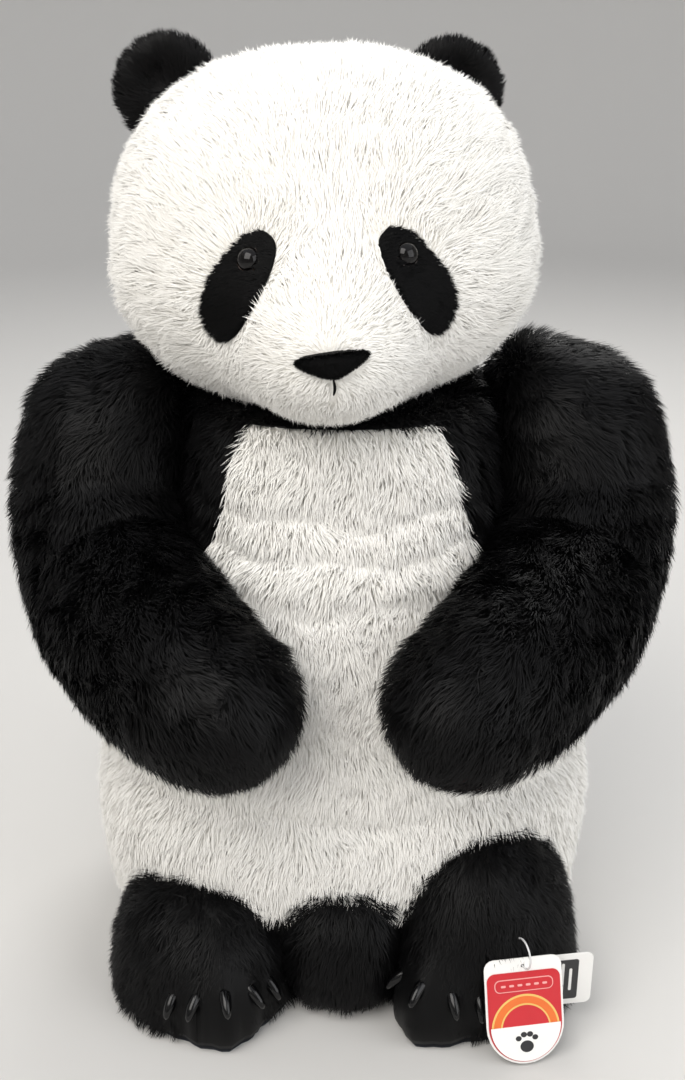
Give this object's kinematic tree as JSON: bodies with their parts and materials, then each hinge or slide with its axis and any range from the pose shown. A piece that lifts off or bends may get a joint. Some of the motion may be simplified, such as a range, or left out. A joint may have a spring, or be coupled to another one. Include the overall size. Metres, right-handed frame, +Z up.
{
  "type": "plush panda",
  "caption": "Large seated stuffed panda with plush panels over filling, glossy eyes, patches, claws, movable head and limbs, and a hang tag.",
  "frame": {"origin": "the middle of the flat seat panel's underside, which the panda rests on", "axes": "+Z up, the panda faces -Y, +X towards its own left"},
  "size_m": [0.5042, 0.4233, 0.7001],
  "materials": {
    "white_plush": "long ivory white pile",
    "black_plush": "long black pile with a soft sheen",
    "short_black_plush": "short black pile",
    "sole_velour": "short blue-black velour",
    "nose_velour": "matte black velour",
    "stuffing": "loose polyester fibre",
    "cotton": "plain woven cotton",
    "white_thread": "spun thread",
    "black_thread": "spun thread",
    "satin_label": "printed white label",
    "eye_black": "polished black",
    "claw_black": "smooth glossy black",
    "washer_white": "moulded white",
    "red_card": "glossy printed red card",
    "clear_nylon": "thin clear nylon"
  },
  "bodies": {
    "torso": {"back_panel_left": "white_plush", "back_panel_right": "white_plush", "belly_panel": "white_plush", "chest_yoke": "black_plush", "closing_stitch": "white_thread", "lap_panel": "black_plush", "pellet_bag": "cotton", "seat_panel": "black_plush", "shoulder_yoke": "black_plush", "torso_filling": "stuffing"},
    "neck": {"neck_plug": "stuffing"},
    "head": {"eye_left": "eye_black", "eye_patch_left": "short_black_plush", "eye_patch_right": "short_black_plush", "eye_right": "eye_black", "eye_washer_left": "washer_white", "eye_washer_right": "washer_white", "head_filling": "stuffing", "head_gusset": "white_plush", "head_side_left": "white_plush", "head_side_right": "white_plush", "mouth_stitch": "black_thread", "nose": "nose_velour"},
    "ear_left": {"ear_left_back": "black_plush", "ear_left_front": "black_plush"},
    "ear_right": {"ear_right_back": "black_plush", "ear_right_front": "black_plush"},
    "arm_left": {"arm_left_filling": "stuffing", "arm_left_inner": "black_plush", "arm_left_outer": "black_plush"},
    "arm_right": {"arm_right_filling": "stuffing", "arm_right_inner": "black_plush", "arm_right_outer": "black_plush"},
    "leg_left": {"leg_left_claw_1": "claw_black", "leg_left_claw_2": "claw_black", "leg_left_claw_3": "claw_black", "leg_left_claw_4": "claw_black", "leg_left_claw_5": "claw_black", "leg_left_cover": "black_plush", "leg_left_filling": "stuffing", "leg_left_sole": "sole_velour", "side_label": "satin_label"},
    "leg_right": {"leg_right_claw_1": "claw_black", "leg_right_claw_2": "claw_black", "leg_right_claw_3": "claw_black", "leg_right_claw_4": "claw_black", "leg_right_claw_5": "claw_black", "leg_right_cover": "black_plush", "leg_right_filling": "stuffing", "leg_right_sole": "sole_velour"},
    "tail": {"tail_cover": "white_plush", "tail_filling": "stuffing"},
    "tag": {"hang_tag": "red_card", "tag_loop": "clear_nylon"}
  },
  "joints": [
    {"name": "head_turn", "type": "hinge", "parent": "torso", "child": "neck", "pos_m": [0, 0.03, 0.456], "axis": [0, 0, 1], "range_deg": [-20, 20], "stiffness_Nm_per_rad": 2},
    {"name": "head_nod", "type": "hinge", "parent": "neck", "child": "head", "pos_m": [0, 0.03, 0.456], "axis": [1, 0, 0], "range_deg": [-9, 1], "stiffness_Nm_per_rad": 8},
    {"name": "ear_left_fold", "type": "hinge", "parent": "head", "child": "ear_left", "pos_m": [0.0865, 0.10816, 0.65867], "axis": [0.7959, 0, -0.6055], "range_deg": [-20, 20], "stiffness_Nm_per_rad": 0.05},
    {"name": "ear_right_fold", "type": "hinge", "parent": "head", "child": "ear_right", "pos_m": [-0.13335, 0.06416, 0.66305], "axis": [0.7557, 0, 0.655], "range_deg": [-20, 20], "stiffness_Nm_per_rad": 0.05},
    {"name": "shoulder_left", "type": "hinge", "parent": "torso", "child": "arm_left", "pos_m": [0.173, 0.032, 0.398], "axis": [-1, 0, 0], "range_deg": [0, 30], "stiffness_Nm_per_rad": 4},
    {"name": "shoulder_right", "type": "hinge", "parent": "torso", "child": "arm_right", "pos_m": [-0.173, 0.032, 0.398], "axis": [-1, 0, 0], "range_deg": [0, 30], "stiffness_Nm_per_rad": 4},
    {"name": "hip_left", "type": "hinge", "parent": "torso", "child": "leg_left", "pos_m": [0.105, -0.116, 0], "axis": [0, 0, 1], "range_deg": [0, 12], "stiffness_Nm_per_rad": 0.5},
    {"name": "hip_right", "type": "hinge", "parent": "torso", "child": "leg_right", "pos_m": [-0.105, -0.116, 0], "axis": [0, 0, -1], "range_deg": [-3, 12], "stiffness_Nm_per_rad": 0.5},
    {"name": "tail_bob", "type": "hinge", "parent": "torso", "child": "tail", "pos_m": [0, 0.17326, 0.09], "axis": [1, 0, 0], "range_deg": [-12, 12], "stiffness_Nm_per_rad": 0.1},
    {"name": "tag_swing", "type": "hinge", "parent": "leg_left", "child": "tag", "pos_m": [0.12665, -0.17548, 0.08147], "axis": [-0.9397, -0.342, 0], "range_deg": [0, 30]}
  ]
}
